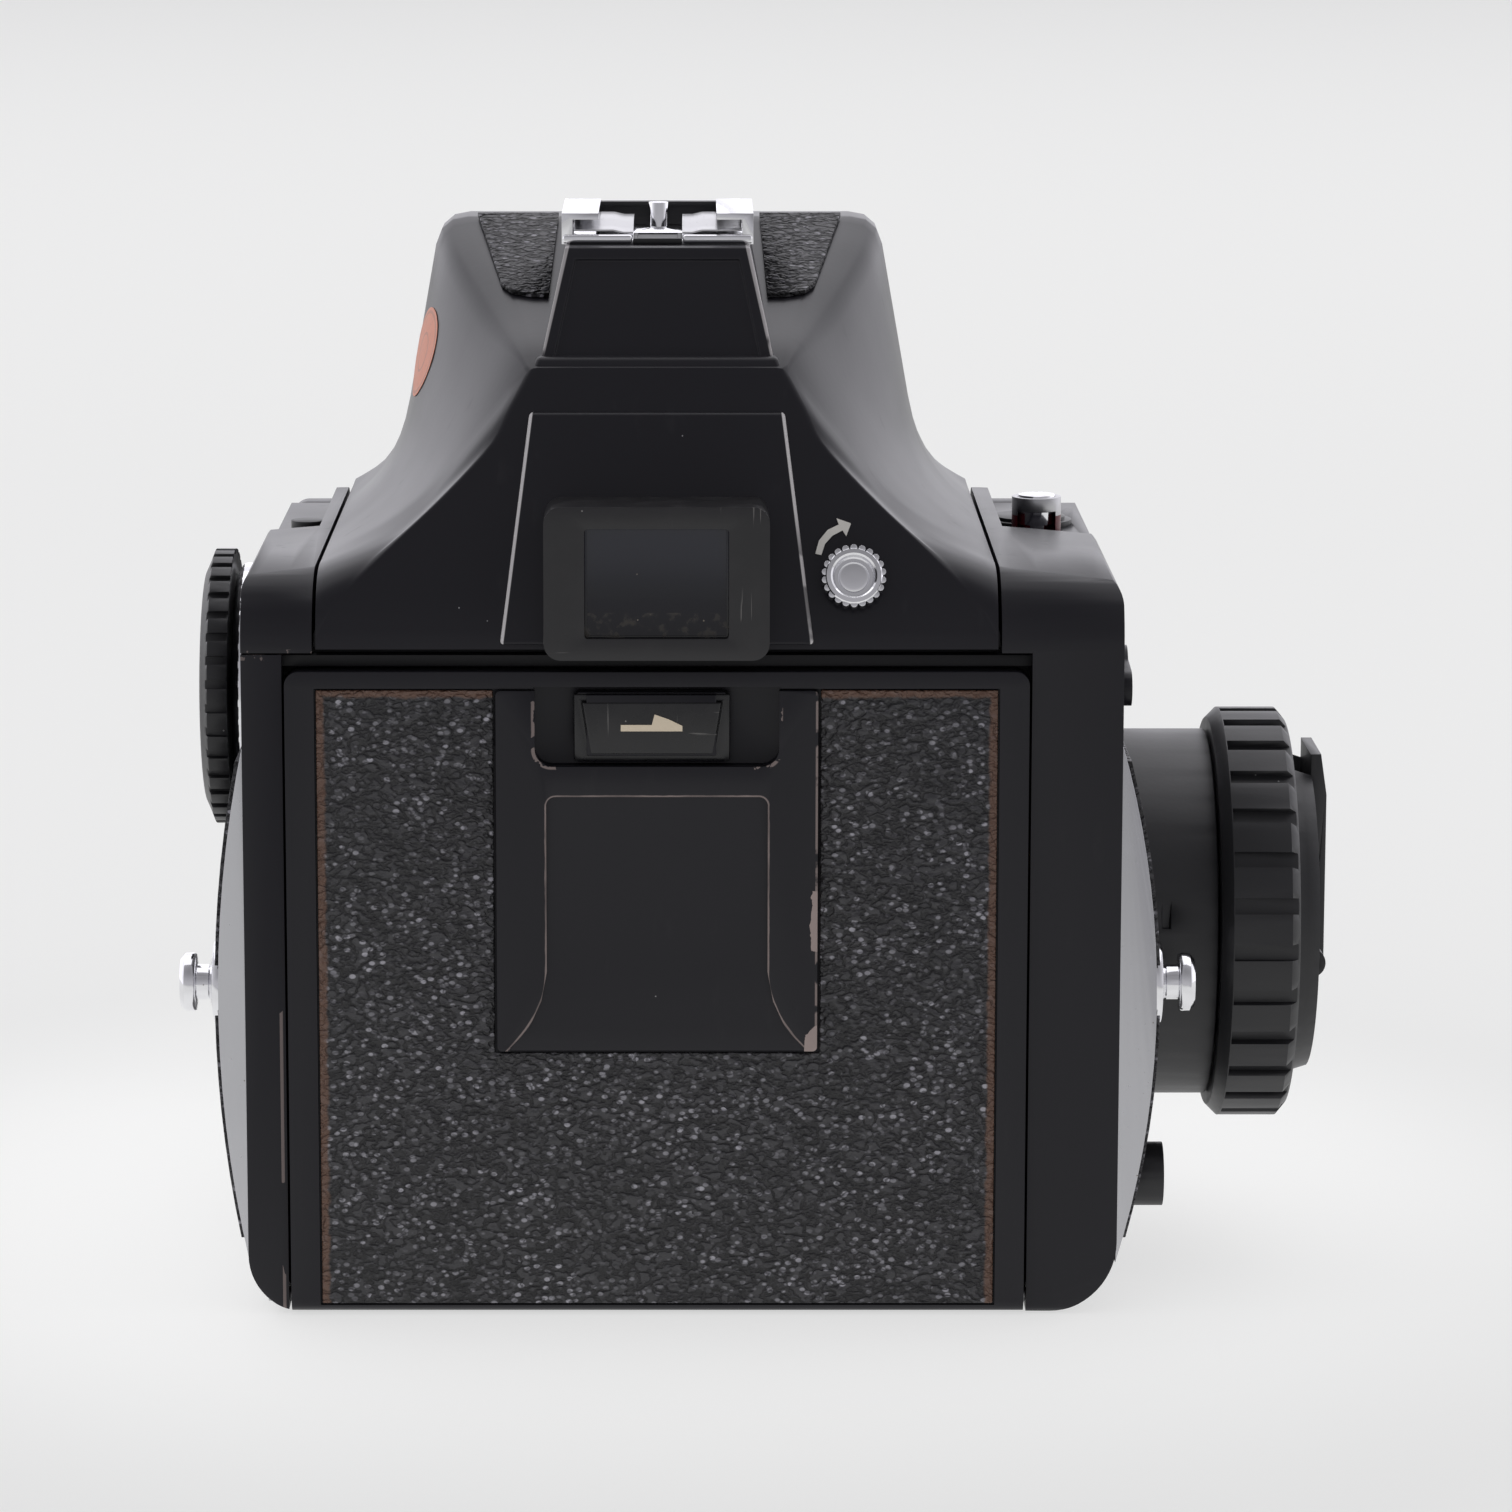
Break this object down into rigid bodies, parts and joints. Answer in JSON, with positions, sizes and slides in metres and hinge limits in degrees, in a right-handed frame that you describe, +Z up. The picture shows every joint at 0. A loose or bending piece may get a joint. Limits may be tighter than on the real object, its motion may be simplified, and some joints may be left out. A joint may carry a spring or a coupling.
{
  "type": "medium format camera",
  "caption": "Box-shaped medium format reflex camera with prism finder, hinged film door, side winding crank, speed dial and lens.",
  "frame": {"origin": "centre of the tripod socket's mouth, on the plane that the camera stands on", "axes": "+X to the user's right, +Y the way the lens points, +Z up"},
  "size_m": [0.1284, 0.1456, 0.1191],
  "materials": {
    "chassis_alloy": "matt black paint on die cast alloy",
    "black_enamel": "satin gloss black enamel",
    "inner_black": "matt black inside",
    "leatherette": "pebbled black leatherette",
    "chrome": "bright chrome",
    "steel": "plain steel",
    "black_plastic": "moulded black plastic",
    "red_mark": "red painted stem under a bright cap",
    "brass_gear": "machined",
    "glass": "coated optical glass",
    "screen_glass": "ground glass",
    "mirror_silver": "front silvered",
    "shutter_cloth": "rubberised black cloth",
    "battery_steel": "plated can",
    "lens_black": "black anodised barrel"
  },
  "bodies": {
    "camera_body": {"chassis": "chassis_alloy", "left_side_cover": "black_enamel", "left_top_cover": "black_enamel", "right_side_cover": "black_enamel", "base_plate": "black_enamel", "base_screws": "steel", "tripod_socket": "steel", "battery_cover": "black_plastic", "battery": "battery_steel", "side_plates": "chrome", "side_leathers": "leatherette", "strap_lugs": "chrome", "front_plate": "black_enamel", "front_leathers": "leatherette", "lens_mount_ring": "chrome", "sync_sockets": "chrome", "mirror_box": "inner_black", "shutter_unit": "shutter_cloth", "film_insert": "inner_black", "pressure_plate": "steel", "dial_base": "chrome", "frame_counter": "black_plastic", "winder_housing": "black_plastic", "focusing_screen": "screen_glass", "hinge_pin": "steel"},
    "door": {"film_door": "black_enamel", "door_leather": "leatherette", "memo_frame": "black_enamel"},
    "latch": {"door_latch": "black_enamel"},
    "finder": {"finder_housing": "black_enamel", "finder_base": "inner_black", "pentaprism": "glass", "eyepiece": "black_plastic", "finder_leather": "leatherette", "accessory_shoe": "chrome"},
    "finder_lock": {"lock_screw": "chrome"},
    "dial": {"speed_dial": "black_plastic"},
    "battery_check": {"battery_button": "black_plastic"},
    "collar": {"release_collar": "chrome"},
    "top_button": {"top_release": "red_mark"},
    "front_button": {"front_release": "chrome"},
    "lens_button": {"lens_release": "chrome"},
    "mirror_lock": {"mirror_lever": "black_enamel"},
    "multi_exposure": {"exposure_lever": "black_enamel"},
    "knob_button": {"knob_release": "black_plastic"},
    "winder": {"wind_knob": "black_plastic", "wind_shaft": "steel", "crank_pin": "steel"},
    "crank": {"crank_arm": "black_plastic"},
    "crank_grip": {"crank_handle": "black_plastic"},
    "takeup": {"takeup_gear": "brass_gear", "takeup_spool": "black_plastic"},
    "supply": {"supply_spool": "black_plastic"},
    "mirror": {"reflex_mirror": "mirror_silver"},
    "lens": {"lens_barrel": "lens_black"},
    "aperture": {"aperture_ring": "lens_black"},
    "focus": {"focus_ring": "lens_black"},
    "optics": {"front_barrel": "lens_black", "lens_glass": "glass", "iris": "inner_black"}
  },
  "joints": [
    {"name": "door_hinge", "type": "hinge", "parent": "camera_body", "child": "door", "pos_m": [0, -0.04225, 0.0019], "axis": [1, 0, 0], "range_deg": [0, 88]},
    {"name": "door_latch_slide", "type": "slide", "parent": "door", "child": "latch", "axis": [1, 0, 0], "range_m": [0, 0.004], "stiffness_N_per_m": 200},
    {"name": "finder_lift", "type": "slide", "parent": "camera_body", "child": "finder", "axis": [0, 0, 1], "range_m": [0, 0.03]},
    {"name": "finder_lock_turn", "type": "hinge", "parent": "finder", "child": "finder_lock", "pos_m": [0.021, -0.0411, 0.0822], "axis": [0, -0.9272, 0.3746], "continuous": true},
    {"name": "speed_dial_turn", "type": "hinge", "parent": "camera_body", "child": "dial", "pos_m": [0, -0.01, 0.0644], "axis": [1, 0, 0], "range_deg": [-150, 150]},
    {"name": "battery_check_press", "type": "slide", "parent": "camera_body", "child": "battery_check", "axis": [0, 0, -1], "range_m": [0, 0.0007], "stiffness_N_per_m": 300},
    {"name": "release_collar_turn", "type": "hinge", "parent": "camera_body", "child": "collar", "pos_m": [0.0438, 0.008, 0.08], "axis": [0, 0, 1], "range_deg": [0, 60]},
    {"name": "top_release_press", "type": "slide", "parent": "camera_body", "child": "top_button", "axis": [0, 0, -1], "range_m": [0, 0.0015], "stiffness_N_per_m": 300},
    {"name": "front_release_press", "type": "slide", "parent": "camera_body", "child": "front_button", "axis": [0, -1, 0], "range_m": [0, 0.0014], "stiffness_N_per_m": 300},
    {"name": "lens_release_press", "type": "slide", "parent": "camera_body", "child": "lens_button", "axis": [0, -1, 0], "range_m": [0, 0.0014], "stiffness_N_per_m": 300},
    {"name": "mirror_lock_turn", "type": "hinge", "parent": "camera_body", "child": "mirror_lock", "pos_m": [0.05, 0.027, 0.0682], "axis": [1, 0, 0], "range_deg": [0, 45]},
    {"name": "multi_exposure_turn", "type": "hinge", "parent": "camera_body", "child": "multi_exposure", "pos_m": [0.05, -0.012, 0.0664], "axis": [-1, 0, 0], "range_deg": [0, 35]},
    {"name": "knob_release_press", "type": "slide", "parent": "camera_body", "child": "knob_button", "axis": [-1, 0, 0], "range_m": [0, 0.0015], "stiffness_N_per_m": 300},
    {"name": "wind_turn", "type": "hinge", "parent": "camera_body", "child": "winder", "pos_m": [0, -0.008, 0.0379], "axis": [1, 0, 0], "continuous": true},
    {"name": "crank_flip", "type": "hinge", "parent": "winder", "child": "crank", "pos_m": [0.074, -0.008, 0.0336], "axis": [0, 1, 0], "range_deg": [0, 180]},
    {"name": "crank_grip_spin", "type": "hinge", "parent": "crank", "child": "crank_grip", "pos_m": [0.074, -0.008, 0.0483], "axis": [1, 0, 0], "continuous": true},
    {"name": "takeup_turn", "type": "hinge", "parent": "camera_body", "child": "takeup", "pos_m": [0, -0.0263, 0.04813], "axis": [1, 0, 0], "continuous": true},
    {"name": "supply_turn", "type": "hinge", "parent": "camera_body", "child": "supply", "pos_m": [0, -0.0263, 0.021], "axis": [1, 0, 0], "continuous": true},
    {"name": "mirror_flip", "type": "hinge", "parent": "camera_body", "child": "mirror", "pos_m": [0, -0.0032, 0.0636], "axis": [1, 0, 0], "range_deg": [0, 43]},
    {"name": "lens_bayonet_turn", "type": "hinge", "parent": "camera_body", "child": "lens", "pos_m": [0, 0.05, 0.038], "axis": [0, 1, 0], "range_deg": [0, 60]},
    {"name": "aperture_turn", "type": "hinge", "parent": "lens", "child": "aperture", "pos_m": [0, 0.062, 0.038], "axis": [0, 1, 0], "range_deg": [0, 55]},
    {"name": "focus_turn", "type": "hinge", "parent": "lens", "child": "focus", "pos_m": [0, 0.077, 0.038], "axis": [0, 1, 0], "range_deg": [0, 200]},
    {"name": "focus_extend", "type": "slide", "parent": "lens", "child": "optics", "axis": [0, 1, 0], "range_m": [0, 0.01]}
  ],
  "couplings": [
    {"joint": "takeup_turn", "follows": "wind_turn", "ratio": -1.3},
    {"joint": "focus_extend", "follows": "focus_turn", "m_per_rad": 0.002864}
  ]
}
